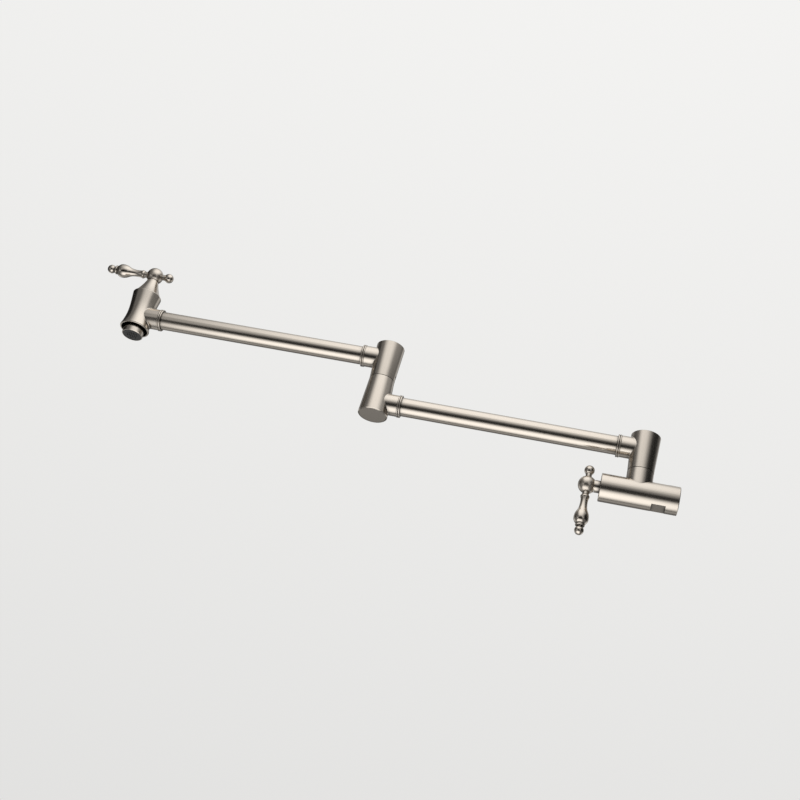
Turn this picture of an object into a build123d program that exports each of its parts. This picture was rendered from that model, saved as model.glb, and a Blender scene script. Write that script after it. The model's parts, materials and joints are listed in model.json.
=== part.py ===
from build123d import *
import os

# Wall mounted pot filler with two swinging arms and two quarter-turn lever valves, in millimetres.
# The origin is the centre of the inlet's mouth at the wall face. +Y points into the wall and +Z is up.
# At rest both arms stand straight out from the wall and both valves are closed.

os.makedirs("parts", exist_ok=True)

# Reach and levels
wall_to_swivel = 41.8  # wall face to the base swivel's axis
lower_arm_reach = 285.0  # base swivel's axis to the middle joint's axis
upper_arm_reach = 285.0  # middle joint's axis to the spout's axis
neck_height = 24.0  # valve's axis to the top of its neck
port_above_split = 27.1  # a swivel's split to the axis of its arm
swivel_gap = 0.6  # height of the thrust washer in a split

# Valve at the wall
valve_length = 80.0
valve_radius = 14.75
valve_edge = 0.6  # bevel on the barrel's two ends
inlet_thread_radius = 10.48  # half inch pipe thread
inlet_thread_depth = 14.0
inlet_thread_runout = 2.0  # cone from the thread down to the waterway
supply_radius = 6.0  # waterway from the thread to the cartridge
flat_from_wall = 12.5  # wall face to the spanner flats
flat_length = 14.5
spanner_size = 24.0  # across the flats

# Swivels
neck_radius = 13.6  # both sides of every split
swivel_top_radius = 15.35
mid_bottom_radius = 16.0
swivel_edge = 0.5  # bevel on a body's far rim
spigot_radius = 8.0
spigot_bore = 4.9
spigot_thread_radius = 8.6
spigot_thread_depth = 8.0
spigot_top_wall = 2.2
spigot_window_radius = 3.4
neck_waterway_radius = 5.6
chamber_radius = 10.4  # ring of water round the spigot's windows
chamber_half_height = 6.6
seal_section = 0.75  # half the thickness of a swivel O-ring
seal_from_chamber = 1.7  # chamber's end to the middle of the nearest O-ring
seal_spacing = 4.0  # between the two O-rings below the chamber
spigot_past_seal = 1.8
spigot_end_gap = 0.5  # spigot's top to the cap's plug
washer_inset = 0.7  # washer's rim inside the neck's
grub_height = 6.6  # above the split
grub_radius = 2.0
grub_dog_radius = 1.2
grub_dog_length = 1.4
grub_recess = 0.4  # below the body's surface
grub_socket = 1.1  # half the hexagon across its corners
grub_socket_depth = 2.2
grub_groove_depth = 0.9
grub_play = 0.2

# End caps of the swivel bodies
cap_rim = 0.9  # body's rim left round the cap
cap_thickness = 2.2
cap_bevel = 0.4
plug_radius = 10.0
plug_length = 3.2

# Arm ports, rings and tubes
tube_radius = 10.0
tube_wall = 1.2
stub_radius = 11.4
stub_end = 24.4  # from the joint's axis
stub_fillet = 1.2  # where a stub meets its body
ring_radius = 12.1
ring_width = 3.8
nipple_length = 6.0  # inside the tube
port_radius = 6.0

# Cartridge, along its own axis from the axis of the port that it feeds
cartridge_radius = 9.5
cartridge_bore = 7.6
seat_depth = 6.5
rubber_thickness = 1.3
disc_thickness = 2.5
disc_hub_radius = 1.8
disc_port_radius = 5.9
disc_port_span = 80.0  # degrees
window_above_disc = 0.5
window_height = 7.0
window_span = 100.0  # degrees
stop_above_window = 0.7
stop_height = 2.8
stem_lug_span = 40.0  # degrees
handle_travel = 90.0  # degrees
stop_play = 1.0  # degrees
flange_above_seal = 5.0
flange_thickness = 3.0
feed_chamber_radius = 11.2
feed_margin = 1.3  # how far the chamber reaches past the windows
nut_thread_radius = 11.5
fork_inner_radius = 4.4
fork_play = 0.3  # radial, from the fork and lugs to the sleeve
dog_depth = 1.0
dog_span = 28.0  # degrees
dog_play = 1.0  # degrees, on each side of a dog

# Stem and its seal
stem_radius = 4.6
stem_flange_radius = 5.4
stem_tip_radius = 3.5
stem_tip_flat = 3.0  # from the axis to the flat for the set screw
stem_in_skirt = 1.5  # how far the full stem reaches into the hub
stem_seal_above_stop = 5.2
stem_seal_section = 0.6

# Handles
hub_radius = 9.4
hub_skirt_radius = 6.6
hub_skirt_drop = 7.2  # hub's centre to the skirt's foot
stem_past_hub = 2.0
stem_end_gap = 0.5
collar_gap = 0.3  # skirt's foot to the collar below it
inlet_collar_radius = 6.5
inlet_collar_length = 5.4
set_screw_radius = 1.5
set_screw_recess = 0.3
set_screw_socket = 0.85  # half the hexagon across its corners
set_screw_socket_depth = 1.5
stud_radius = 2.5
stud_length = 3.0
stud_end_gap = 0.2
lever_neck_radius = 3.5
lever_neck_length = 3.1
lever_ring_radius = 4.7
lever_ring_width = 3.6
lever_shoulder_radius = 4.2  # just past the ring
lever_slim_radius = 3.8
lever_slim_length = 6.1  # ring to the slimmest place
lever_flare_radius = 4.9
lever_flare_length = 7.0  # slimmest place to the flare
lever_belly_radius = 7.7
lever_belly_length = 9.9  # flare to the widest place
lever_tail_length = 6.2  # widest place to the bead
lever_tail_middle_length = 3.7
lever_tail_middle_radius = 6.7
lever_tail_radius = 4.1  # where the belly meets the bead
lever_bead_foot = 4.3
lever_bead_radius = 5.1
lever_bead_width = 2.4
lever_tip_neck_radius = 3.1
lever_tip_neck_length = 1.1
lever_ball_radius = 4.85
finial_neck_radius = 3.2
finial_neck_length = 3.6
finial_ball_radius = 5.3

# Spout
rim_drop = 17.2  # port's axis down to the bell's rim
rim_radius = 16.5
rim_edge = 0.9
bell_flare_place = -9.0
bell_flare_radius = 14.9
waist_place = 0.6
waist_radius = 13.9
chest_place = 14.0
chest_radius = 14.5
shoulder_place = 27.4
shoulder_radius = 16.1
shoulder_round = 1.2
mouth_lip = 1.6  # wall at the rim
mouth_depth = 7.9
mouth_wall = 1.7  # wall at the mouth's top
bonnet_radius = 14.6
bonnet_foot = 0.5  # upright edge above the body
bonnet_height = 20.1  # its seat on the body to its top
bonnet_middle_height = 9.9
bonnet_middle_radius = 9.9
bonnet_top_radius = 6.3
outlet_radius = 5.0
socket_web = 2.0  # floor between the cartridge and the aerator

# Aerator
aerator_radius = 11.6
aerator_length = 12.0  # the boss that it is screwed into down to its face
aerator_thread_radius = 9.3
aerator_boss_radius = 11.3
aerator_boss_drop = 13.0
aerator_washer_thickness = 1.4
aerator_washer_bore = 6.2
aerator_water_radius = 7.0
aerator_lip = 0.9
aerator_edge = 0.5
insert_depth = 8.4
insert_recess = 0.2
insert_hole_radius = 0.85
insert_hole_spacing = 3.0
insert_hole_rows = 5

# Clearances
fit_gap = 0.05  # radial, where one piece turns in another
seat_gap = 0.1  # radial, where a piece is screwed, brazed or pressed into another

cut_past = 1.0  # how far a cut runs past the surface that it opens

# Places that follow from the sizes above
base_y = -wall_to_swivel
mid_y = base_y - lower_arm_reach
spout_y = mid_y - upper_arm_reach
lower_arm_z = neck_height + port_above_split
mid_split_z = lower_arm_z + port_above_split
upper_arm_z = mid_split_z + port_above_split

chamber_low = port_above_split - chamber_half_height
chamber_high = port_above_split + chamber_half_height
low_seal = chamber_low - seal_from_chamber
high_seal = chamber_high + seal_from_chamber
seal_heights = (low_seal - seal_spacing, low_seal, high_seal)
spigot_top = high_seal + spigot_past_seal
plug_seat = spigot_top + spigot_end_gap
cap_seat = plug_seat + plug_length
swivel_height = cap_seat + cap_thickness
swivel_bore = spigot_radius + fit_gap
groove_radius = swivel_bore - 2 * seal_section - fit_gap - seat_gap
grub_groove_radius = spigot_radius - grub_groove_depth

tube_start = stub_end + ring_width
nipple_radius = tube_radius - tube_wall - seat_gap
nipple_end = tube_start + nipple_length

bottom_disc_low = rubber_thickness - seat_depth
disc_meeting = bottom_disc_low + disc_thickness
moving_disc_top = disc_meeting + disc_thickness
window_low = moving_disc_top + window_above_disc
window_high = window_low + window_height
feed_chamber_low = window_low - feed_margin
feed_chamber_high = window_high + feed_margin
stop_low = window_high + stop_above_window
stop_high = stop_low + stop_height
sleeve_floor = stop_high + seat_gap
stem_seal_height = stop_high + stem_seal_above_stop
flange_low = stem_seal_height + flange_above_seal
flange_high = flange_low + flange_thickness
flange_radius = nut_thread_radius - seat_gap
fork_radius = cartridge_bore - fork_play
body_bore = cartridge_radius + seat_gap
nut_bore = nut_thread_radius + seat_gap
stem_bore = stem_radius + fit_gap

valve_end = valve_length - wall_to_swivel
inlet_collar_top = valve_end + inlet_collar_length
hub_above_inlet_port = inlet_collar_top + collar_gap + hub_skirt_drop
bonnet_seat = shoulder_place + shoulder_round
bonnet_top = bonnet_seat + bonnet_height
hub_above_spout_port = bonnet_top + collar_gap + hub_skirt_drop
lever_seat = (hub_radius**2 - lever_neck_radius**2) ** 0.5
finial_seat = (hub_radius**2 - finial_neck_radius**2) ** 0.5
aerator_top = -seat_depth - socket_web

# Frames: x runs outward from the wall (or down the hanging lever) and z along the joint's axis
base_frame = Plane(origin=(0, base_y, neck_height), x_dir=(0, -1, 0), z_dir=(0, 0, 1))
mid_frame = Plane(origin=(0, mid_y, mid_split_z), x_dir=(0, -1, 0), z_dir=(0, 0, 1))
spout_frame = Plane(origin=(0, spout_y, upper_arm_z), x_dir=(0, -1, 0), z_dir=(0, 0, 1))
inlet_frame = Plane(origin=(0, base_y, 0), x_dir=(0, 0, -1), z_dir=(0, -1, 0))
toward_lever = Plane(origin=(0, 0, 0), x_dir=(0, 1, 0), z_dir=(1, 0, 0))
away_from_lever = Plane(origin=(0, 0, 0), x_dir=(0, 1, 0), z_dir=(-1, 0, 0))
to_back = Plane(origin=(0, 0, 0), x_dir=(1, 0, 0), z_dir=(0, -1, 0))


def rod(radius, low, high):
    """Round bar along z between two heights."""
    return Pos(0, 0, (low + high) / 2) * Cylinder(radius, high - low)


def tube(outer, inner, low, high):
    """Round bar with a bore."""
    return rod(outer, low, high) - rod(inner, low, high)


def turned(*edges):
    """Solid of revolution about z from edges drawn as (radius, height)."""
    return revolve(Plane.XZ * make_face(Curve() + list(edges)), Axis.Z)


def turned_outline(*points):
    """Solid of revolution about z from straight runs between (radius, height) points."""
    return revolve(Plane.XZ * make_face(Polyline(*points, close=True)), Axis.Z)


def sector(inner, outer, middle, span, low, high):
    """Slice of a ring, centred on an angle in degrees."""
    far = CenterArc((0, 0), outer, middle - span / 2, span)
    near = CenterArc((0, 0), inner, middle - span / 2, span)
    face = make_face([far, Line(far @ 1, near @ 1), near, Line(near @ 0, far @ 0)])
    return Pos(0, 0, low) * extrude(face, high - low)


def pair_of_sectors(inner, outer, middle, span, low, high):
    """Two slices of a ring, opposite each other."""
    one = sector(inner, outer, middle, span, low, high)
    return one + Rot(0, 0, 180) * one


# Swivels ------------------------------------------------------------------------------------


def arm_port(direction, height):
    """Stub and nipple that carry a tube, along one side of a body."""
    solid = rod(stub_radius, 0, stub_end) + rod(nipple_radius, 0, nipple_end)
    return Pos(0, 0, height) * (direction * solid)


def with_port(body, direction, height):
    """Body with an arm port on one side, and a fillet along the line where they meet."""
    port = arm_port(direction, height)
    whole = body + port
    return fillet(new_edges(body, port, combined=whole), stub_fillet)


def port_bore(direction, height):
    """Waterway through a port."""
    return Pos(0, 0, height) * (direction * rod(port_radius, 0, nipple_end))


def swivel_body():
    """Turning body above a split, open below for the spigot and above for its cap."""
    top = swivel_height
    body = turned_outline(
        (0, swivel_gap),
        (neck_radius, swivel_gap),
        (swivel_top_radius, top - swivel_edge),
        (swivel_top_radius - swivel_edge, top),
        (0, top),
    )
    body = with_port(body, toward_lever, port_above_split)
    body -= rod(swivel_bore, swivel_gap, plug_seat)
    body -= rod(chamber_radius, chamber_low, chamber_high)
    body -= rod(plug_radius + seat_gap, plug_seat, cap_seat)
    body -= rod(swivel_top_radius - cap_rim, cap_seat, top)
    body -= port_bore(toward_lever, port_above_split)
    grub_hole = rod(grub_radius + seat_gap, 0, swivel_top_radius)
    return body - Pos(0, 0, grub_height) * (away_from_lever * grub_hole)


def mid_lower_body():
    """Body below the middle split, on the end of the lower arm."""
    foot = -swivel_height
    body = turned_outline(
        (0, 0),
        (neck_radius, 0),
        (mid_bottom_radius, foot + swivel_edge),
        (mid_bottom_radius - swivel_edge, foot),
        (0, foot),
    )
    body = with_port(body, away_from_lever, -port_above_split)
    body -= rod(spigot_thread_radius + seat_gap, -spigot_thread_depth, 0)
    body -= rod(neck_waterway_radius, -plug_seat, -spigot_thread_depth)
    body -= rod(plug_radius + seat_gap, -cap_seat, -plug_seat)
    body -= rod(mid_bottom_radius - cap_rim, foot, -cap_seat)
    return body - port_bore(away_from_lever, -port_above_split)


def end_cap(body_radius):
    """Screwed disc that closes the far end of a swivel body."""
    face_radius = body_radius - cap_rim - seat_gap
    return turned_outline(
        (0, plug_seat),
        (plug_radius, plug_seat),
        (plug_radius, cap_seat),
        (face_radius, cap_seat),
        (face_radius, swivel_height - cap_bevel),
        (face_radius - cap_bevel, swivel_height),
        (0, swivel_height),
    )


def spigot():
    """Hollow post screwed into a neck, which a swivel body turns on."""
    post = rod(spigot_thread_radius, -spigot_thread_depth, 0) + rod(spigot_radius, 0, spigot_top)
    post -= rod(spigot_bore, -spigot_thread_depth, spigot_top - spigot_top_wall)
    for height in seal_heights:
        low = height - seal_section - seat_gap
        high = height + seal_section + seat_gap
        post -= tube(spigot_radius + cut_past, groove_radius, low, high)
    low = grub_height - grub_dog_radius - grub_play
    high = grub_height + grub_dog_radius + grub_play
    post -= tube(spigot_radius + cut_past, grub_groove_radius, low, high)
    reach = spigot_radius + cut_past
    window = toward_lever * rod(spigot_window_radius, -reach, reach)
    for turn in (0, 90):
        post -= Pos(0, 0, port_above_split) * (Rot(0, 0, turn) * window)
    return post


def swivel_seals():
    """O-rings in the spigot's grooves."""
    middle = swivel_bore - fit_gap - seal_section
    return [Pos(0, 0, height) * Torus(middle, seal_section) for height in seal_heights]


def thrust_washer():
    """Plastic washer in a split, set in from the rim so that the split shows as a line."""
    return tube(neck_radius - washer_inset, spigot_radius + fit_gap, 0, swivel_gap)


def swivel_grub():
    """Dog point screw whose tip runs in the spigot's groove and holds the body down."""
    surface = neck_radius + (swivel_top_radius - neck_radius) * grub_height / swivel_height
    tip = grub_groove_radius + grub_play
    screw = rod(grub_dog_radius, tip, tip + grub_dog_length)
    screw += rod(grub_radius, tip + grub_dog_length, surface - grub_recess)
    socket = extrude(RegularPolygon(grub_socket, 6), grub_socket_depth)
    screw -= Pos(0, 0, surface - grub_recess - grub_socket_depth) * socket
    return Pos(0, 0, grub_height) * (away_from_lever * screw)


# Arms -----------------------------------------------------------------------------------------


def port_ring():
    """Ring of two beads between a stub and its tube, drawn along z from the joint's axis."""
    inner = nipple_radius + seat_gap
    bead = ring_width / 4
    groove = ring_radius - bead
    first = CenterArc((groove, stub_end + bead), bead, -90, 180)
    second = CenterArc((groove, tube_start - bead), bead, -90, 180)
    return turned(
        Line((inner, stub_end), (groove, stub_end)),
        first,
        second,
        Line((groove, tube_start), (inner, tube_start)),
        Line((inner, tube_start), (inner, stub_end)),
    )


def arm_tube(reach):
    """Drawn tube between two rings, along z from the joint's axis."""
    return tube(tube_radius, tube_radius - tube_wall, tube_start, reach - tube_start)


# Cartridges -------------------------------------------------------------------------------------


def rubber_seat():
    """Rubber ring that the fixed disc and the cartridge press against the body's seat."""
    return tube(cartridge_radius - seat_gap, outlet_radius, -seat_depth, bottom_disc_low)


def ceramic_disc(low, port_middle):
    """Polished disc with two ports across from each other."""
    disc = rod(cartridge_bore - seat_gap, low, low + disc_thickness)
    return disc - pair_of_sectors(
        disc_hub_radius,
        disc_port_radius,
        port_middle,
        disc_port_span,
        low - cut_past,
        low + disc_thickness + cut_past,
    )


def moving_disc():
    """Disc turned by the stem's dogs. Its ports are a quarter turn from the fixed ones when closed."""
    disc = ceramic_disc(disc_meeting, 90)
    notch_span = dog_span + 2 * dog_play
    floor = moving_disc_top - dog_depth
    top = moving_disc_top + cut_past
    return disc - pair_of_sectors(fork_inner_radius, cartridge_bore, 0, notch_span, floor, top)


def cartridge_body():
    """Brass sleeve with side windows, stops for the stem and a flange under the nut."""
    body = rod(cartridge_radius, bottom_disc_low, flange_high)
    body += rod(flange_radius, flange_low, flange_high)
    body -= rod(cartridge_bore, bottom_disc_low, sleeve_floor)
    body -= rod(stem_bore, stop_high, flange_high)
    beyond = cartridge_radius + cut_past
    body -= pair_of_sectors(stem_bore, beyond, 0, window_span, window_low, window_high)
    rib_span = 180 - handle_travel - stem_lug_span - 2 * stop_play
    rib_middle = (stem_lug_span / 2 + handle_travel + stop_play) + rib_span / 2
    rib_inner = stem_flange_radius + seat_gap
    wall_middle = (cartridge_bore + cartridge_radius) / 2
    return body + pair_of_sectors(
        rib_inner, wall_middle, rib_middle, rib_span, stop_low, sleeve_floor
    )


def stem(hub_height):
    """Spindle: a fork that turns the disc, a flange with two stop lugs, and a tip in the hub."""
    prongs = pair_of_sectors(
        fork_inner_radius, fork_radius, 0, stem_lug_span, moving_disc_top, stop_low
    )
    dogs = pair_of_sectors(
        fork_inner_radius + seat_gap,
        fork_radius,
        0,
        dog_span,
        moving_disc_top - dog_depth + seat_gap,
        moving_disc_top,
    )
    lugs = pair_of_sectors(stem_tip_radius, fork_radius, 0, stem_lug_span, stop_low, stop_high)
    shoulder = hub_height - hub_skirt_drop + stem_in_skirt
    shaft = rod(stem_flange_radius, stop_low, stop_high) + rod(stem_radius, stop_high, shoulder)
    groove_low = stem_seal_height - stem_seal_section - seat_gap
    groove_high = stem_seal_height + stem_seal_section + seat_gap
    groove_floor = stem_radius - 2 * stem_seal_section
    shaft -= tube(stem_radius + cut_past, groove_floor, groove_low, groove_high)
    tip = rod(stem_tip_radius, shoulder, hub_height + stem_past_hub)
    beyond = 2 * stem_tip_radius
    tip -= Pos(0, -stem_tip_flat - beyond / 2, hub_height) * Box(beyond, beyond, 2 * hub_radius)
    return shaft + lugs + prongs + dogs + tip


def stem_seal():
    """O-ring round the stem."""
    return Pos(0, 0, stem_seal_height) * Torus(stem_radius - stem_seal_section, stem_seal_section)


# Handles: z is the stem's axis and x runs down the lever, from the hub's centre ------------------


def handle_hub():
    """Ball with a skirt below it, faced off for the lever and the finial."""
    hub = Sphere(hub_radius) + rod(hub_skirt_radius, -hub_skirt_drop, 0)
    hub -= rod(hub_radius, -2 * hub_radius, -hub_skirt_drop)
    hub -= toward_lever * rod(hub_radius, lever_seat, 2 * hub_radius)
    hub -= away_from_lever * rod(hub_radius, finial_seat, 2 * hub_radius)
    hub -= rod(stem_radius + seat_gap, -hub_skirt_drop, stem_in_skirt + seat_gap - hub_skirt_drop)
    hub -= rod(stem_tip_radius + seat_gap, -hub_skirt_drop, stem_past_hub + stem_end_gap)
    stud_hole = rod(stud_radius + seat_gap, -stud_length - stud_end_gap, hub_radius)
    hub -= toward_lever * Pos(0, 0, lever_seat) * stud_hole
    hub -= away_from_lever * Pos(0, 0, finial_seat) * stud_hole
    return hub - to_back * rod(set_screw_radius + seat_gap, 0, 2 * hub_radius)


def stud_and_neck(seat, neck_radius, neck_end):
    """Outline of the stud in the hub and the neck that stands on the hub's face."""
    return Polyline(
        (0, seat - stud_length),
        (stud_radius, seat - stud_length),
        (stud_radius, seat),
        (neck_radius, seat),
        (neck_radius, neck_end),
    )


def end_ball(neck_radius, ball_radius, low):
    """Outline of a ball at the end of a neck, and its centre's height."""
    centre = low + (ball_radius**2 - neck_radius**2) ** 0.5
    top = (0, centre + ball_radius)
    return ThreePointArc((neck_radius, low), (ball_radius, centre), top), top


def handle_lever():
    """Turned baluster: stud, neck, ring, slim waist, swelling belly, bead and end ball."""
    ring_low = lever_seat + lever_neck_length
    ring_high = ring_low + lever_ring_width
    slim = ring_high + lever_slim_length
    flare = slim + lever_flare_length
    belly = flare + lever_belly_length
    bead_low = belly + lever_tail_length
    bead_high = bead_low + lever_bead_width
    ball_low = bead_high + lever_tip_neck_length
    ball, tip = end_ball(lever_tip_neck_radius, lever_ball_radius, ball_low)
    profile = turned(
        stud_and_neck(lever_seat, lever_neck_radius, ring_low),
        ThreePointArc(
            (lever_neck_radius, ring_low),
            (lever_ring_radius, (ring_low + ring_high) / 2),
            (lever_shoulder_radius, ring_high),
        ),
        Spline(
            (lever_shoulder_radius, ring_high),
            (lever_slim_radius, slim),
            (lever_flare_radius, flare),
            (lever_belly_radius, belly),
            tangents=[(-0.2, 1), (0, 1)],
        ),
        ThreePointArc(
            (lever_belly_radius, belly),
            (lever_tail_middle_radius, belly + lever_tail_middle_length),
            (lever_tail_radius, bead_low),
        ),
        Line((lever_tail_radius, bead_low), (lever_bead_foot, bead_low)),
        ThreePointArc(
            (lever_bead_foot, bead_low),
            (lever_bead_radius, (bead_low + bead_high) / 2),
            (lever_bead_foot, bead_high),
        ),
        Polyline(
            (lever_bead_foot, bead_high),
            (lever_tip_neck_radius, bead_high),
            (lever_tip_neck_radius, ball_low),
        ),
        ball,
        Line(tip, (0, lever_seat - stud_length)),
    )
    return toward_lever * profile


def handle_finial():
    """Small ball on a short neck, screwed into the hub across from the lever."""
    neck_end = finial_seat + finial_neck_length
    ball, tip = end_ball(finial_neck_radius, finial_ball_radius, neck_end)
    profile = turned(
        stud_and_neck(finial_seat, finial_neck_radius, neck_end),
        ball,
        Line(tip, (0, finial_seat - stud_length)),
    )
    return away_from_lever * profile


def handle_set_screw():
    """Socket screw that grips the flat on the stem, on the handle's hidden side."""
    screw_end = (hub_radius**2 - set_screw_radius**2) ** 0.5 - set_screw_recess
    screw = rod(set_screw_radius, stem_tip_flat + fit_gap, screw_end)
    socket = extrude(RegularPolygon(set_screw_socket, 6), set_screw_socket_depth)
    return to_back * (screw - Pos(0, 0, screw_end - set_screw_socket_depth) * socket)


# Valve at the wall --------------------------------------------------------------------------------


def valve_body():
    """Brass barrel against the wall with a neck for the base swivel."""
    along_barrel = Plane(origin=(0, 0, 0), x_dir=(1, 0, 0), z_dir=(0, -1, 0))
    barrel = turned_outline(
        (0, 0),
        (valve_radius - valve_edge, 0),
        (valve_radius, valve_edge),
        (valve_radius, valve_length - valve_edge),
        (valve_radius - valve_edge, valve_length),
        (0, valve_length),
    )
    for side in (1, -1):
        flat = Box(2 * valve_radius, valve_radius, flat_length)
        flat_place = side * (spanner_size + valve_radius) / 2
        barrel -= Pos(0, flat_place, flat_from_wall + flat_length / 2) * flat
    seat = wall_to_swivel - seat_depth
    waterways = turned_outline(
        (0, -cut_past),
        (inlet_thread_radius, -cut_past),
        (inlet_thread_radius, inlet_thread_depth),
        (supply_radius, inlet_thread_depth + inlet_thread_runout),
        (supply_radius, seat),
        (body_bore, seat),
        (body_bore, wall_to_swivel + feed_chamber_low),
        (feed_chamber_radius, wall_to_swivel + feed_chamber_low),
        (feed_chamber_radius, wall_to_swivel + feed_chamber_high),
        (body_bore, wall_to_swivel + feed_chamber_high),
        (body_bore, wall_to_swivel + flange_low),
        (nut_bore, wall_to_swivel + flange_low),
        (nut_bore, valve_length + cut_past),
        (0, valve_length + cut_past),
    )
    neck = Pos(0, base_y, 0) * rod(neck_radius, 0, neck_height)
    neck_bore = rod(spigot_thread_radius + seat_gap, neck_height - spigot_thread_depth, neck_height)
    neck_bore += rod(neck_waterway_radius, 0, neck_height)
    return along_barrel * barrel + neck - along_barrel * waterways - Pos(0, base_y, 0) * neck_bore


def retaining_nut():
    """Nut that holds the cartridge in the wall valve, with the collar seen behind the handle."""
    nut = rod(nut_thread_radius, flange_high, valve_end)
    nut += rod(inlet_collar_radius, valve_end, inlet_collar_top)
    return nut - rod(stem_bore, flange_high, inlet_collar_top)


# Spout --------------------------------------------------------------------------------------------


def spout_body():
    """Waisted bell on the end of the upper arm."""
    foot = -rim_drop
    outside = turned(
        Line((0, foot), (rim_radius - rim_edge, foot)),
        CenterArc((rim_radius - rim_edge, foot + rim_edge), rim_edge, -90, 90),
        Spline(
            (rim_radius, foot + rim_edge),
            (bell_flare_radius, bell_flare_place),
            (waist_radius, waist_place),
            (chest_radius, chest_place),
            (shoulder_radius, shoulder_place),
        ),
        CenterArc((shoulder_radius - shoulder_round, shoulder_place), shoulder_round, 0, 90),
        Line((shoulder_radius - shoulder_round, bonnet_seat), (0, bonnet_seat)),
        Line((0, bonnet_seat), (0, foot)),
    )
    outside = with_port(outside, away_from_lever, 0)
    mouth_top = foot + mouth_depth
    mouth = turned_outline(
        (0, foot - cut_past),
        (rim_radius - mouth_lip, foot - cut_past),
        (rim_radius - mouth_lip, foot),
        (bell_flare_radius - mouth_wall, mouth_top),
        (0, mouth_top),
    )
    body = outside - mouth + rod(aerator_boss_radius, -aerator_boss_drop, mouth_top)
    body -= rod(aerator_thread_radius + seat_gap, -aerator_boss_drop, aerator_top)
    body -= rod(outlet_radius, aerator_top, -seat_depth)
    body -= rod(body_bore, -seat_depth, flange_low)
    body -= rod(feed_chamber_radius, feed_chamber_low, feed_chamber_high)
    body -= rod(nut_bore, flange_low, bonnet_seat)
    return body - port_bore(away_from_lever, 0)


def spout_bonnet():
    """Cone screwed into the spout, which holds the cartridge and carries the look up to the handle."""
    foot_top = bonnet_seat + bonnet_foot
    return turned(
        Polyline(
            (stem_bore, flange_high),
            (nut_thread_radius, flange_high),
            (nut_thread_radius, bonnet_seat),
            (bonnet_radius, bonnet_seat),
            (bonnet_radius, foot_top),
        ),
        ThreePointArc(
            (bonnet_radius, foot_top),
            (bonnet_middle_radius, bonnet_seat + bonnet_middle_height),
            (bonnet_top_radius, bonnet_top),
        ),
        Polyline((bonnet_top_radius, bonnet_top), (stem_bore, bonnet_top), (stem_bore, flange_high)),
    )


def aerator_housing():
    """Threaded sleeve that stands out of the bell's mouth."""
    shoulder = -aerator_boss_drop
    face = shoulder - aerator_length
    washer_low = aerator_top - aerator_washer_thickness
    insert_top = face + insert_recess + insert_depth
    return turned_outline(
        (aerator_radius - aerator_lip, face),
        (aerator_radius - aerator_edge, face),
        (aerator_radius, face + aerator_edge),
        (aerator_radius, shoulder),
        (aerator_thread_radius, shoulder),
        (aerator_thread_radius, washer_low),
        (aerator_water_radius, washer_low),
        (aerator_water_radius, insert_top),
        (aerator_radius - aerator_lip, insert_top),
    )


def aerator_insert():
    """Perforated plastic flow straightener, black from below."""
    low = insert_recess - aerator_boss_drop - aerator_length
    plate = rod(aerator_radius - aerator_lip - seat_gap, low, low + insert_depth)
    hole = rod(insert_hole_radius, low, low + insert_depth)
    grid = HexLocations(insert_hole_spacing / 2, insert_hole_rows, insert_hole_rows)
    holes = [place * hole for place in grid]
    limit = aerator_water_radius - insert_hole_radius
    inside = [h for h in holes if Vector(h.center().X, h.center().Y, 0).length < limit]
    return plate - inside


def aerator_washer():
    """Rubber washer above the aerator's thread."""
    low = aerator_top - aerator_washer_thickness
    return tube(aerator_thread_radius, aerator_washer_bore, low, aerator_top)


# Sub-parts ------------------------------------------------------------------------------------------


def keep(name, frame, shape):
    """Moves a piece from its own frame to its place and writes it."""
    solids = shape if isinstance(shape, list) else [shape]
    placed = [frame * piece for piece in solids]
    export_step(Compound([s for piece in placed for s in piece.solids()]), f"parts/{name}.step")


def keep_cartridge(prefix, frame, hub_height):
    """One quarter-turn cartridge and the handle on its stem."""
    keep(f"{prefix}_rubber_seat", frame, rubber_seat())
    keep(f"{prefix}_fixed_disc", frame, ceramic_disc(bottom_disc_low, 0))
    keep(f"{prefix}_moving_disc", frame, moving_disc())
    keep(f"{prefix}_cartridge_body", frame, cartridge_body())
    keep(f"{prefix}_stem", frame, stem(hub_height))
    keep(f"{prefix}_stem_oring", frame, stem_seal())
    at_hub = frame * Pos(0, 0, hub_height)
    keep(f"{prefix}_handle_hub", at_hub, handle_hub())
    keep(f"{prefix}_handle_lever", at_hub, handle_lever())
    keep(f"{prefix}_handle_finial", at_hub, handle_finial())
    keep(f"{prefix}_handle_set_screw", at_hub, handle_set_screw())


def keep_swivel(prefix, frame):
    """The turning body above a split and what joins it to the neck below."""
    keep(f"{prefix}_spigot", frame, spigot())
    keep(f"{prefix}_orings", frame, swivel_seals())
    keep(f"{prefix}_thrust_washer", frame, thrust_washer())
    keep(f"{prefix}_grub_screw", frame, swivel_grub())


def keep_arm(prefix, frame, height, reach):
    """A tube with a ring at each end."""
    along = frame * Pos(0, 0, height) * toward_lever.location
    back = frame * Pos(reach, 0, height) * away_from_lever.location
    keep(f"{prefix}_tube", along, arm_tube(reach))
    keep(f"{prefix}_inner_ring", along, port_ring())
    keep(f"{prefix}_outer_ring", back, port_ring())


keep("valve_body", Location(), valve_body())
keep("inlet_retaining_nut", inlet_frame.location, retaining_nut())
keep_cartridge("inlet", inlet_frame.location, hub_above_inlet_port)

keep_swivel("base", base_frame.location)
keep("base_swivel_body", base_frame.location, swivel_body())
keep("base_swivel_cap", base_frame.location, end_cap(swivel_top_radius))
keep_arm("lower_arm", base_frame.location, port_above_split, lower_arm_reach)

keep("middle_lower_body", mid_frame.location, mid_lower_body())
keep("middle_bottom_cap", mid_frame.location, mirror(end_cap(mid_bottom_radius), Plane.XY))
keep_swivel("middle", mid_frame.location)
keep("middle_upper_body", mid_frame.location, swivel_body())
keep("middle_top_cap", mid_frame.location, end_cap(swivel_top_radius))
keep_arm("upper_arm", mid_frame.location, port_above_split, upper_arm_reach)

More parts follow.
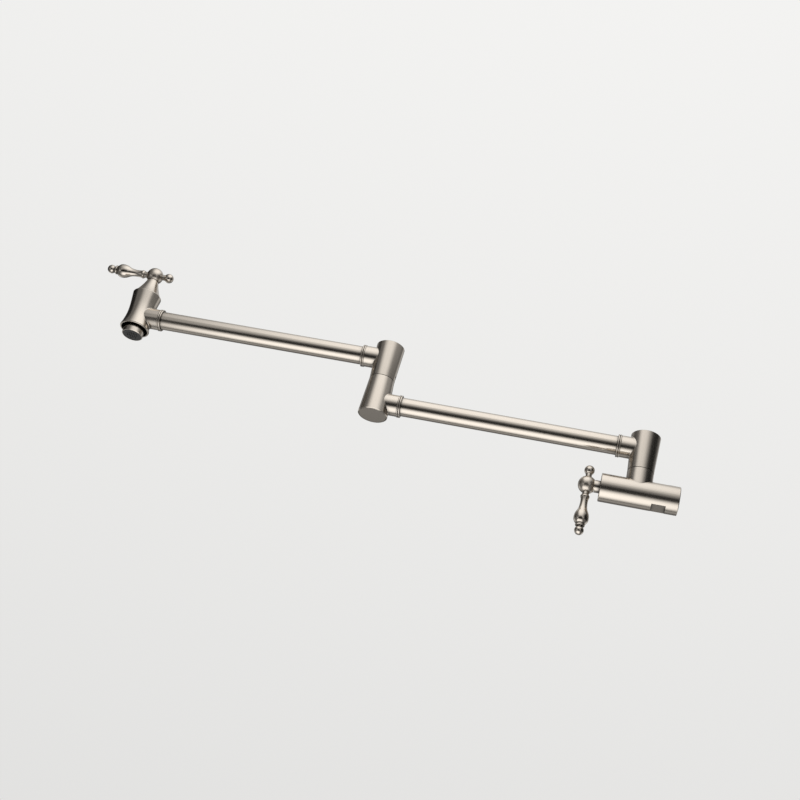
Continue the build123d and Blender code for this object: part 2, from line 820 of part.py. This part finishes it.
keep("spout_body", spout_frame.location, spout_body())
keep("spout_bonnet", spout_frame.location, spout_bonnet())
keep_cartridge("spout", spout_frame.location, hub_above_spout_port)
keep("aerator_housing", spout_frame.location, aerator_housing())
keep("aerator_insert", spout_frame.location, aerator_insert())
keep("aerator_washer", spout_frame.location, aerator_washer())
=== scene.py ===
# Wall mounted pot filler in satin nickel. Metres, +Y into the wall, +Z up, the inlet's mouth at the origin
import json
import math

import bpy
import numpy as np
from mathutils import Matrix, Vector


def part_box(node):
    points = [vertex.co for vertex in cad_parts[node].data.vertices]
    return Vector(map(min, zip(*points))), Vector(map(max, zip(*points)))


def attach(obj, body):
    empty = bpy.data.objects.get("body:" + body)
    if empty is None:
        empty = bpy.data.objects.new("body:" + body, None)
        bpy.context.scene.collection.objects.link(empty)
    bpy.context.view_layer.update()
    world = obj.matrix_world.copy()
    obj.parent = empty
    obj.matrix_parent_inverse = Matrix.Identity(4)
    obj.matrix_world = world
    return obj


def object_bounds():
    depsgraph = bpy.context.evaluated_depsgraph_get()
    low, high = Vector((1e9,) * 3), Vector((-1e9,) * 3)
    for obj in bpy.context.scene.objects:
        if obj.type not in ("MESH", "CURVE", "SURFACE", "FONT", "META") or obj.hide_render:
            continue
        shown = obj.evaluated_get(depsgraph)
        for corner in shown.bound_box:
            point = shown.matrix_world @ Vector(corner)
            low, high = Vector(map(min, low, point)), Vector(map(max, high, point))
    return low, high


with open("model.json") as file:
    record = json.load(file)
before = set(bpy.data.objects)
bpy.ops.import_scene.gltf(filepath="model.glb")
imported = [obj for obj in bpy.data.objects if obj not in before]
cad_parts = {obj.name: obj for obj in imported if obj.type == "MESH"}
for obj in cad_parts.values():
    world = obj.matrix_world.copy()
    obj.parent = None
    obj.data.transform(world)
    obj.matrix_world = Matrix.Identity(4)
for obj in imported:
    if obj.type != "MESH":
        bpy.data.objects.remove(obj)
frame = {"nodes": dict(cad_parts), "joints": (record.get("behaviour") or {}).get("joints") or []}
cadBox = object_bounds()
nodes = frame["nodes"]
joints = {joint["name"]: joint for joint in frame["joints"]}
scene = bpy.context.scene
scene.view_settings.view_transform = "Standard"
objectMiddle = (Vector(cadBox[0]) + Vector(cadBox[1])) / 2
print("frame loaded:", len(nodes), "nodes")


# Quads between neighbouring points of a (rows, columns, 3) array, wrapped round where it is closed
def meshFromGrid(name, points, closeColumns=False, capRows=False):
    rows, columns = points.shape[:2]
    index = np.arange(rows * columns).reshape(rows, columns)
    ends = [index[0].tolist(), index[-1, ::-1].tolist()] if capRows else []
    if closeColumns:
        index = np.hstack([index, index[:, :1]])
    corners = [index[:-1, :-1], index[:-1, 1:], index[1:, 1:], index[1:, :-1]]
    faces = np.stack(corners, axis=-1).reshape(-1, 4).tolist()
    mesh = bpy.data.meshes.new(name)
    mesh.from_pydata(points.reshape(-1, 3), [], faces + ends)
    piece = bpy.data.objects.new(name, mesh)
    scene.collection.objects.link(piece)
    return piece


def link(tree, source, target):
    tree.links.new(source, target)


# Puts another node's output, a colour or a number into a socket
def feed(tree, value, socket):
    if isinstance(value, bpy.types.NodeSocket):
        link(tree, value, socket)
    elif socket.type == "RGBA":
        socket.default_value = (*value, 1)
    else:
        socket.default_value = value


# A node material with one shader on its output
def newMaterial(name, kind="ShaderNodeBsdfPrincipled"):
    material = bpy.data.materials.new(name)
    material.use_nodes = True
    tree = material.node_tree
    tree.nodes.clear()
    output = tree.nodes.new("ShaderNodeOutputMaterial")
    shader = tree.nodes.new(kind)
    link(tree, shader.outputs[0], output.inputs["Surface"])
    return material, tree, shader


def addMath(tree, operation, *values):
    node = tree.nodes.new("ShaderNodeMath")
    node.operation = operation
    for value, socket in zip(values, node.inputs):
        feed(tree, value, socket)
    return node.outputs["Value"]


# Carries a value from one range to another, straight or by a smooth step
def addRange(tree, value, fromRange, toRange=(0.0, 1.0), smooth=False):
    node = tree.nodes.new("ShaderNodeMapRange")
    if smooth:
        node.interpolation_type = "SMOOTHSTEP"
    node.inputs["From Min"].default_value, node.inputs["From Max"].default_value = fromRange
    node.inputs["To Min"].default_value, node.inputs["To Max"].default_value = toRange
    link(tree, value, node.inputs["Value"])
    return node.outputs["Result"]


def addMix(tree, factor, first, second):
    node = tree.nodes.new("ShaderNodeMix")
    node.data_type = "RGBA"
    feed(tree, first, node.inputs["A"])
    feed(tree, second, node.inputs["B"])
    link(tree, factor, node.inputs["Factor"])
    return node.outputs["Result"]


# Puts a mix of two shaders on the output, the second one by the share given
def blendShaders(tree, share, first, second):
    blend = tree.nodes.new("ShaderNodeMixShader")
    link(tree, share, blend.inputs["Fac"])
    link(tree, first.outputs[0], blend.inputs[1])
    link(tree, second.outputs[0], blend.inputs[2])
    link(tree, blend.outputs["Shader"], tree.nodes["Material Output"].inputs["Surface"])


def addAxes(tree, vector):
    split = tree.nodes.new("ShaderNodeSeparateXYZ")
    link(tree, vector, split.inputs["Vector"])
    return split.outputs


# A vector as it is seen from a frame that stands at a centre and is turned
def addLocal(tree, vector, centre, turn):
    place = tree.nodes.new("ShaderNodeMapping")
    place.vector_type = "TEXTURE"
    place.inputs["Location"].default_value = centre
    place.inputs["Rotation"].default_value = turn
    link(tree, vector, place.inputs["Vector"])
    return place.outputs["Vector"]


# 1 for what the camera sees, straight or in metal or glass, and 0 for light that only falls on things
def addShown(tree):
    path = tree.nodes.new("ShaderNodeLightPath").outputs
    straightOrShiny = addMath(tree, "MAXIMUM", path["Is Camera Ray"], path["Is Glossy Ray"])
    return addMath(tree, "MAXIMUM", straightOrShiny, path["Is Transmission Ray"])


# The backdrop: a pale sky that brightens upward, and a weaker even light for everything else
skySettings = {
    "low": (0.75, 0.747, 0.737),
    "high": (0.90, 0.896, 0.884),
    "heights": (0.1, 0.75),  # on the unit sphere, where it starts and stops brightening
    "ambient": 0.50,
}


def makeSky():
    world = bpy.data.worlds.new("studioSky")
    scene.world = world
    world.use_nodes = True
    tree = world.node_tree
    direction = tree.nodes.new("ShaderNodeTexCoord").outputs["Generated"]
    height = addRange(tree, addAxes(tree, direction)["Z"], skySettings["heights"])
    sky = addMix(tree, height, skySettings["low"], skySettings["high"])
    ambient = (skySettings["ambient"],) * 3
    link(tree, addMix(tree, addShown(tree), ambient, sky), tree.nodes["Background"].inputs["Color"])


# The floor: a level square, z = a fixed drop below the object, that turns into the foot of the sky far away
floorSettings = {
    "drop": 0.85,
    "half": 30.0,
    "colour": (0.82, 0.817, 0.808),
    "roughness": 0.9,
    "specular": 0.1,
    "lift": 0.42,  # light of its own, for the camera only
    "fade": (1.5, 9.0),  # distances where the sky's colour starts and is all
}


def makeFloor():
    span = np.linspace(-floorSettings["half"], floorSettings["half"], 2)
    x, y = np.meshgrid(span, span)
    z = np.full_like(x, objectMiddle.z - floorSettings["drop"])
    floor = meshFromGrid("studioFloor", np.stack([x, y, z], axis=-1))
    material, tree, shader = newMaterial("paleFloor")
    shader.inputs["Base Color"].default_value = (*floorSettings["colour"], 1)
    shader.inputs["Roughness"].default_value = floorSettings["roughness"]
    shader.inputs["Specular IOR Level"].default_value = floorSettings["specular"]
    shader.inputs["Emission Color"].default_value = (*floorSettings["colour"], 1)
    lift = addMath(tree, "MULTIPLY", addShown(tree), floorSettings["lift"])
    link(tree, lift, shader.inputs["Emission Strength"])
    away = tree.nodes.new("ShaderNodeVectorMath")
    away.operation = "LENGTH"
    link(tree, tree.nodes.new("ShaderNodeNewGeometry").outputs["Position"], away.inputs["Vector"])
    fade = addRange(tree, away.outputs["Value"], floorSettings["fade"], smooth=True)
    skyFoot = tree.nodes.new("ShaderNodeEmission")
    skyFoot.inputs["Color"].default_value = (*skySettings["low"], 1)
    blendShaders(tree, fade, shader, skyFoot)
    material.cycles.emission_sampling = "NONE"
    floor.data.materials.append(material)
    floor.visible_glossy = False


# Light of one shade, for what only the metal reflects
def glowMaterial(name, shade):
    material, tree, glow = newMaterial(name, "ShaderNodeEmission")
    glow.inputs["Color"].default_value = (shade, shade, shade, 1)
    material.cycles.emission_sampling = "NONE"
    return material, tree, glow


def onlyReflected(piece):
    piece.visible_camera = False
    piece.visible_diffuse = False
    piece.visible_transmission = False
    piece.visible_volume_scatter = False
    piece.visible_shadow = False


# The room: a grey sphere round the object, by two angles,
# x = sin(fall) cos(turn), y = sin(fall) sin(turn), z = cos(fall), each times the radius
roomSettings = {
    "radius": 2.9,
    "shade": 0.16,
    "turns": 48,
    "rings": 25,
    "poleGap": 0.001,  # radians
}


def makeRoom():
    around = np.linspace(0, 2 * math.pi, roomSettings["turns"], endpoint=False)
    poleGap = roomSettings["poleGap"]
    down = np.linspace(poleGap, math.pi - poleGap, roomSettings["rings"])
    turn, fall = np.meshgrid(around, down)
    ball = np.stack([np.sin(fall) * np.cos(turn), np.sin(fall) * np.sin(turn), np.cos(fall)], axis=-1)
    points = np.array(objectMiddle) + roomSettings["radius"] * ball
    room = meshFromGrid("studioRoom", points, closeColumns=True)
    room.data.materials.append(glowMaterial("greyWall", roomSettings["shade"])[0])
    onlyReflected(room)


# Softboxes and cards stand square to a direction from the middle of the object, at a distance along it,
# and are then moved sideways and up their own plane. Each is full out to one half width and half height,
# and has faded away at another.
softboxes = {
    "overheadFront": {
        "towards": (0.6, 0.0, 0.8),
        "distance": 0.78,
        "shift": (0.05, 0.14),
        "full": (0.15, 0.14),
        "gone": (0.88, 1.30),
        "radiance": 1.24,
    },
    "overheadBack": {
        "towards": (-0.55, 0.0, 0.83),
        "distance": 1.00,
        "shift": (0.0, 0.0),
        "full": (0.35, 0.12),
        "gone": (0.85, 0.50),
        "radiance": 0.44,
    },
    "low": {
        "towards": (0.2, 0.0, -0.98),
        "distance": 0.80,
        "shift": (-0.03, 0.0),
        "full": (0.36, 0.10),
        "gone": (0.68, 0.74),
        "radiance": 1.46,
    },
}
cards = {
    # Three dark ones, for the dark band along the arms and the dark sides of the upright bodies
    "cameraCard": {
        "towards": (0.91, -0.06, -0.40),
        "distance": 1.60,
        "shift": (0.0, 0.0),
        "full": (0.62, 0.32),
        "gone": (0.95, 0.50),
        "shade": 0.012,
    },
    "leftCard": {
        "towards": (-0.15, -0.99, 0.0),
        "distance": 0.80,
        "shift": (0.0, 0.26),
        "full": (0.24, 0.18),
        "gone": (0.46, 0.36),
        "shade": 0.012,
    },
    "rightCard": {
        "towards": (0.0, 1.0, 0.0),
        "distance": 0.80,
        "shift": (0.2, -0.05),
        "full": (0.20, 0.24),
        "gone": (0.60, 0.45),
        "shade": 0.015,
    },
    # Light ones, for the brightness of the metal as it is seen from the other sides
    "rearRight": {
        "towards": (-0.80, 0.52, 0.30),
        "distance": 1.50,
        "shift": (0.0, 0.0),
        "full": (0.30, 0.25),
        "gone": (0.65, 0.60),
        "shade": 0.55,
    },
    "rearLeft": {
        "towards": (-0.62, -0.74, 0.27),
        "distance": 1.50,
        "shift": (0.0, 0.0),
        "full": (0.30, 0.25),
        "gone": (0.65, 0.60),
        "shade": 0.36,
    },
    "lowFrontLeft": {
        "towards": (0.61, -0.73, -0.32),
        "distance": 1.60,
        "shift": (0.0, 0.0),
        "full": (0.12, 0.12),
        "gone": (0.42, 0.45),
        "shade": 0.60,
    },
    "lowFrontRight": {
        "towards": (0.80, 0.60, -0.12),
        "distance": 1.60,
        "shift": (0.0, 0.0),
        "full": (0.10, 0.15),
        "gone": (0.34, 0.50),
        "shade": 0.45,
    },
    "lowRearRight": {
        "towards": (-0.68, 0.70, -0.26),
        "distance": 1.60,
        "shift": (0.0, 0.0),
        "full": (0.20, 0.20),
        "gone": (0.60, 0.62),
        "shade": 0.80,
    },
    "lowRearLeft": {
        "towards": (-0.68, -0.70, -0.22),
        "distance": 1.60,
        "shift": (0.0, 0.0),
        "full": (0.20, 0.20),
        "gone": (0.55, 0.62),
        "shade": 0.80,
    },
    "frontRight": {
        "towards": (0.90, 0.42, 0.02),
        "distance": 1.65,
        "shift": (0.0, 0.0),
        "full": (0.06, 0.15),
        "gone": (0.30, 0.42),
        "shade": 0.55,
    },
    "frontLeft": {
        "towards": (0.88, -0.46, 0.04),
        "distance": 1.65,
        "shift": (0.0, 0.0),
        "full": (0.06, 0.15),
        "gone": (0.30, 0.42),
        "shade": 0.42,
    },
    "rearUnder": {
        "towards": (-0.73, -0.15, -0.68),
        "distance": 1.60,
        "shift": (0.0, 0.0),
        "full": (0.60, 0.04),
        "gone": (1.20, 0.60),
        "shade": 0.42,
    },
    "rightFill": {
        "towards": (0.20, 0.78, 0.60),
        "distance": 1.25,
        "shift": (0.0, 0.0),
        "full": (0.15, 0.10),
        "gone": (0.95, 0.65),
        "shade": 0.36,
    },
}


# Where a softbox or card stands: x sideways, y up its own plane, z towards it
def standingPose(settings):
    towards = Vector(settings["towards"]).normalized()
    facesAlongY = abs(towards.y) >= 0.5
    level = Vector((1, 0, 0)) if facesAlongY else Vector((0, 1, 0))
    side = (level - towards * level.dot(towards)).normalized()
    rise = towards.cross(side)
    shiftSide, shiftRise = settings["shift"]
    pose = Matrix((side, rise, towards)).transposed().to_4x4()
    pose.translation = objectMiddle + towards * settings["distance"] + side * shiftSide + rise * shiftRise
    return pose


# The share of light left at a point: a falling smooth step of |x| times one of |y|, in the pose's plane
def addFade(tree, pose, full, gone):
    position = tree.nodes.new("ShaderNodeNewGeometry").outputs["Position"]
    axes = addAxes(tree, addLocal(tree, position, pose.to_translation(), pose.to_euler()))
    shares = []
    for axis, fullHalf, goneHalf in zip("XY", full, gone):
        fromMiddle = addMath(tree, "ABSOLUTE", axes[axis])
        shares.append(addRange(tree, fromMiddle, (goneHalf, fullHalf), smooth=True))
    return addMath(tree, "MULTIPLY", *shares)


def makeSoftbox(name, settings):
    pose = standingPose(settings)
    lamp = bpy.data.lights.new(name, "AREA")
    lamp.shape = "RECTANGLE"
    lamp.size, lamp.size_y = (2 * half for half in settings["gone"])
    lamp.energy = math.pi * lamp.size * lamp.size_y * settings["radiance"]
    lamp.use_nodes = True
    tree = lamp.node_tree
    share = addFade(tree, pose, settings["full"], settings["gone"])
    link(tree, share, tree.nodes["Emission"].inputs["Strength"])
    light = bpy.data.objects.new(name, lamp)
    light.visible_camera = False
    light.matrix_world = pose
    scene.collection.objects.link(light)


# A flat card, middle + x side + y rise out to both half sizes, clear where it has faded
def makeCard(name, settings):
    pose = standingPose(settings)
    halfWide, halfHigh = settings["gone"]
    side, rise, _, middle = (np.array(column[:3]) for column in pose.col)
    x, y = np.meshgrid(np.linspace(-halfWide, halfWide, 2), np.linspace(-halfHigh, halfHigh, 2))
    card = meshFromGrid(name, middle + x[..., None] * side + y[..., None] * rise)
    material, tree, glow = glowMaterial(name + "Face", settings["shade"])
    clear = tree.nodes.new("ShaderNodeBsdfTransparent")
    blendShaders(tree, addFade(tree, pose, settings["full"], settings["gone"]), clear, glow)
    card.data.materials.append(material)
    onlyReflected(card)


makeFloor()
makeSky()
makeRoom()
for name, settings in softboxes.items():
    makeSoftbox(name, settings)
for name, settings in cards.items():
    makeCard(name, settings)
print("stage made:", len(softboxes), "softboxes,", len(cards), "cards")


# The camera stands below and in front, tilted as the photograph is
cameraSettings = {
    "aim": (-0.004, -0.303, 0.0613),
    "distance": 1.413,
    "turn": 99.8,  # degrees from +Y toward -X
    "upward": 28.9,
    "roll": 14.9,
    "focalLength": 59.58,
    "sensorWidth": 36.0,
}


def makeCamera():
    turn, upward, roll = (math.radians(cameraSettings[key]) for key in ("turn", "upward", "roll"))
    level = math.cos(upward)
    forward = Vector((-math.sin(turn) * level, math.cos(turn) * level, math.sin(upward)))
    levelRight = forward.cross(Vector((0, 0, 1))).normalized()
    right = levelRight * math.cos(roll) + levelRight.cross(forward) * math.sin(roll)
    lens = bpy.data.cameras.new("camera")
    lens.lens = cameraSettings["focalLength"]
    lens.sensor_width = cameraSettings["sensorWidth"]
    pose = Matrix((right, right.cross(forward), -forward)).transposed().to_4x4()
    pose.translation = Vector(cameraSettings["aim"]) - forward * cameraSettings["distance"]
    camera = bpy.data.objects.new("camera", lens)
    camera.matrix_world = pose
    scene.collection.objects.link(camera)
    scene.camera = camera


makeCamera()
print("camera set")


def addNoise(tree, vector, scale, detail, roughness):
    noise = tree.nodes.new("ShaderNodeTexNoise")
    noise.inputs["Scale"].default_value = scale
    noise.inputs["Detail"].default_value = detail
    noise.inputs["Roughness"].default_value = roughness
    link(tree, vector, noise.inputs["Vector"])
    return noise.outputs["Fac"]


# A small relief of a height, on the shader's normal
def addBump(tree, height, strength, depth, shader):
    bump = tree.nodes.new("ShaderNodeBump")
    bump.inputs["Strength"].default_value = strength
    bump.inputs["Distance"].default_value = depth
    link(tree, height, bump.inputs["Height"])
    link(tree, bump.outputs["Normal"], shader.inputs["Normal"])


def addObjectPlace(tree):
    return tree.nodes.new("ShaderNodeTexCoord").outputs["Object"]


# Satin nickel: fine lines run round a turned piece, and along a drawn tube, and shade is painted into the
# colour, darker in hollows and where parts meet
nickelSettings = {
    "tone": (0.655, 0.598, 0.525),
    "warmTone": (0.635, 0.570, 0.495),
    "cloudScale": 45.0,
    "cloudDetail": 3.0,
    "cloudRoughness": 0.5,
    # colour of the painted shade in hollows and joins
    "paintedShadeTone": (0.085, 0.078, 0.070),
    "paintedShadeReach": 0.0045,  # how near another surface has to be for the painted shade
    "paintedShadeRange": (0.50, 0.93),  # open shares where the painted shade in a hollow is darkest and where it ends
    "paintedShadeSamples": 8,
    "brushAlong": 30.0,
    "brushAcross": 2600.0,
    "lineDetail": 3.0,
    "lineRoughness": 0.6,
    "lineRange": (0.3, 0.7),  # of the lines' noise, spread over the whole roughness
    "bumpStrength": 0.02,
    "bumpDepth": 0.00003,
    "roughness": (0.195, 0.215),
}
roughnessOf = {
    "ring": (0.11, 0.13),  # the beaded rings are brighter than the arms
    "lever": (0.14, 0.16),
    "finial": (0.14, 0.16),
    "hub": (0.26, 0.29),  # the handles' balls are duller
}
turnToAxis = {"y": (math.pi / 2, 0, 0), "z": (0, 0, 0)}


# The piece's own lines stretch along its axis when drawn, and round it when turned
def brushedNickel(name, axis, centre, drawn=False, roughness=nickelSettings["roughness"]):
    material, tree, shader = newMaterial(name)
    shader.inputs["Metallic"].default_value = 1.0
    place = addLocal(tree, addObjectPlace(tree), centre, turnToAxis[axis])
    stretch = tree.nodes.new("ShaderNodeMapping")
    along, across = nickelSettings["brushAlong"], nickelSettings["brushAcross"]
    stretch.inputs["Scale"].default_value = (across, across, along) if drawn else (along, along, across)
    link(tree, place, stretch.inputs["Vector"])
    lineNoise = nickelSettings["lineDetail"], nickelSettings["lineRoughness"]
    lines = addNoise(tree, stretch.outputs["Vector"], 1.0, *lineNoise)
    cloudNoise = nickelSettings["cloudDetail"], nickelSettings["cloudRoughness"]
    clouds = addNoise(tree, place, nickelSettings["cloudScale"], *cloudNoise)
    tone = addMix(tree, clouds, nickelSettings["tone"], nickelSettings["warmTone"])
    # Painted shade: ambient occlusion darkens the colour toward the shade tone where other surfaces are
    # near
    paintedShadeOcclusion = tree.nodes.new("ShaderNodeAmbientOcclusion")
    paintedShadeOcclusion.samples = nickelSettings["paintedShadeSamples"]
    paintedShadeOcclusion.inputs["Distance"].default_value = nickelSettings["paintedShadeReach"]
    unshadedShare = addRange(tree, paintedShadeOcclusion.outputs["AO"], nickelSettings["paintedShadeRange"])
    link(tree, addMix(tree, unshadedShare, nickelSettings["paintedShadeTone"], tone), shader.inputs["Base Color"])
    link(tree, addRange(tree, lines, nickelSettings["lineRange"], roughness), shader.inputs["Roughness"])
    addBump(tree, lines, nickelSettings["bumpStrength"], nickelSettings["bumpDepth"], shader)
    return material


# Brass, ceramic, rubber, plastic and steel: a fine grain in colour, gloss and surface
otherFinishes = {
    "machinedBrass": {
        "colour": (0.74, 0.60, 0.34),
        "metallic": 1.0,
        "roughness": (0.2, 0.4),
        "grain": 900,
    },
    "ceramic": {
        "colour": (0.86, 0.86, 0.84),
        "metallic": 0.0,
        "roughness": (0.1, 0.2),
        "grain": 300,
    },
    "blackRubber": {
        "colour": (0.03, 0.03, 0.03),
        "metallic": 0.0,
        "roughness": (0.5, 0.7),
        "grain": 700,
    },
    "greyAcetal": {
        "colour": (0.10, 0.095, 0.09),
        "metallic": 0.0,
        "roughness": (0.4, 0.55),
        "grain": 600,
    },
    "blackPlastic": {
        "colour": (0.022, 0.022, 0.022),
        "metallic": 0.0,
        "roughness": (0.35, 0.5),
        "grain": 800,
    },
    "screwSteel": {
        "colour": (0.35, 0.34, 0.33),
        "metallic": 1.0,
        "roughness": (0.3, 0.45),
        "grain": 900,
    },
}
grainSettings = {
    "detail": 3.0,
    "roughness": 0.6,
    "noiseRange": (0.0, 1.0),
    "darker": 0.8,  # of the colour, in the specks
    "bumpStrength": 0.15,
    "bumpDepth": 0.00005,
}


def plainFinish(name, colour, metallic, roughness, grain):
    material, tree, shader = newMaterial(name)
    shader.inputs["Metallic"].default_value = metallic
    grainNoise = grainSettings["detail"], grainSettings["roughness"]
    specks = addNoise(tree, addObjectPlace(tree), grain, *grainNoise)
    darkColour = tuple(grainSettings["darker"] * channel for channel in colour)
    link(tree, addMix(tree, specks, colour, darkColour), shader.inputs["Base Color"])
    link(tree, addRange(tree, specks, grainSettings["noiseRange"], roughness), shader.inputs["Roughness"])
    addBump(tree, specks, grainSettings["bumpStrength"], grainSettings["bumpDepth"], shader)
    return material


def jointPlace(name):
    return Vector(joints[name]["pos_m"])


def middleOf(node):
    low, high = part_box(node)
    return (Vector(low) + Vector(high)) / 2


# Which way each nickel piece was turned or drawn: its axis and a point on it
inletAxis = ("y", jointPlace("inlet_valve"))
baseAxis = ("z", jointPlace("base_swivel"))
middleAxis = ("z", jointPlace("middle_swivel"))
spoutAxis = ("z", jointPlace("spout_valve"))
lowerArmAxis = ("y", middleOf("lower_arm_tube"))
upperArmAxis = ("y", middleOf("upper_arm_tube"))
turnedPieces = {
    "valve_body": inletAxis,
    "inlet_retaining_nut": inletAxis,
    "inlet_handle_hub": inletAxis,
    "inlet_handle_lever": ("z", middleOf("inlet_handle_lever")),
    "inlet_handle_finial": ("z", middleOf("inlet_handle_finial")),
    "base_swivel_body": baseAxis,
    "base_swivel_cap": baseAxis,
    "lower_arm_inner_ring": lowerArmAxis,
    "lower_arm_outer_ring": lowerArmAxis,
    "middle_lower_body": middleAxis,
    "middle_bottom_cap": middleAxis,
    "middle_upper_body": middleAxis,
    "middle_top_cap": middleAxis,
    "upper_arm_inner_ring": upperArmAxis,
    "upper_arm_outer_ring": upperArmAxis,
    "spout_body": spoutAxis,
    "spout_bonnet": spoutAxis,
    "spout_handle_hub": spoutAxis,
    "spout_handle_lever": ("y", middleOf("spout_handle_lever")),
    "spout_handle_finial": ("y", middleOf("spout_handle_finial")),
    "aerator_housing": spoutAxis,
}
drawnPieces = {
    "lower_arm_tube": lowerArmAxis,
    "upper_arm_tube": upperArmAxis,
}
otherPieces = {
    "machinedBrass": [
        "inlet_cartridge_body",
        "spout_cartridge_body",
        "inlet_stem",
        "spout_stem",
        "base_spigot",
        "middle_spigot",
    ],
    "ceramic": [
        "inlet_fixed_disc",
        "inlet_moving_disc",
        "spout_fixed_disc",
        "spout_moving_disc",
    ],
    "blackRubber": [
        "inlet_rubber_seat",
        "spout_rubber_seat",
        "inlet_stem_oring",
        "spout_stem_oring",
        "base_orings",
        "middle_orings",
        "aerator_washer",
    ],
    "greyAcetal": [
        "base_thrust_washer",
        "middle_thrust_washer",
    ],
    "blackPlastic": [
        "aerator_insert",
    ],
    "screwSteel": [
        "base_grub_screw",
        "middle_grub_screw",
        "inlet_handle_set_screw",
        "spout_handle_set_screw",
    ],
}


# The inlet's thread: a ridge that winds round the mouth, each point at x = r cos(turn), z = r sin(turn),
# y = -pitch x turn / 2 pi plus the profile's own place, and the ridge's height falls off at both ends
threadSettings = {
    "pitch": 0.001814,  # fourteen threads to the inch
    "start": 0.0012,  # from the wall end
    "length": 0.0118,
    "rootRadius": 0.01053,
    "crestRadius": 0.00955,
    "rootHalf": 0.00078,  # half widths of the ridge at its foot and its top
    "crestHalf": 0.00016,
    "stepsPerTurn": 72,
    "fadeTurns": 0.6,
    "endShare": 0.02,  # of the full height, at the very ends
}


def makeInletThread():
    pitch, turns = threadSettings["pitch"], threadSettings["length"] / threadSettings["pitch"]
    steps = int(turns * threadSettings["stepsPerTurn"])
    turn = np.linspace(0, 2 * math.pi * turns, steps)[:, None]
    fromEnd = np.minimum(turn, turn[-1] - turn) / (2 * math.pi * threadSettings["fadeTurns"])
    share = np.clip(fromEnd, threadSettings["endShare"], 1)
    rootRadius = threadSettings["rootRadius"]
    height = rootRadius - threadSettings["crestRadius"]
    rootHalf, crestHalf = threadSettings["rootHalf"], threadSettings["crestHalf"]
    radius = rootRadius - np.array([0, height, height, 0]) * share
    place = np.array([-rootHalf, -crestHalf, crestHalf, rootHalf])
    y = -threadSettings["start"] - pitch * turn / (2 * math.pi) + place
    points = np.stack([radius * np.cos(turn), y, radius * np.sin(turn)], axis=-1)
    thread = meshFromGrid("inlet_thread_ridge", points, closeColumns=True, capRows=True)
    thread.data.materials.append(brushedNickel("inlet_thread_nickel", *inletAxis))
    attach(thread, "wall_valve")


def dress(node, material):
    slots = nodes[node].data.materials
    slots.clear()
    slots.append(material)


for node, (axis, centre) in turnedPieces.items():
    roughness = roughnessOf.get(node.split("_")[-1], nickelSettings["roughness"])
    dress(node, brushedNickel(node + "_nickel", axis, centre, roughness=roughness))
for node, (axis, centre) in drawnPieces.items():
    dress(node, brushedNickel(node + "_nickel", axis, centre, drawn=True))
for finish, members in otherPieces.items():
    material = plainFinish(finish, **otherFinishes[finish])
    for node in members:
        dress(node, material)
makeInletThread()
dressed = {*turnedPieces, *drawnPieces, *(node for members in otherPieces.values() for node in members)}
print("finishes set, nodes left undressed:", sorted(set(nodes) - dressed))
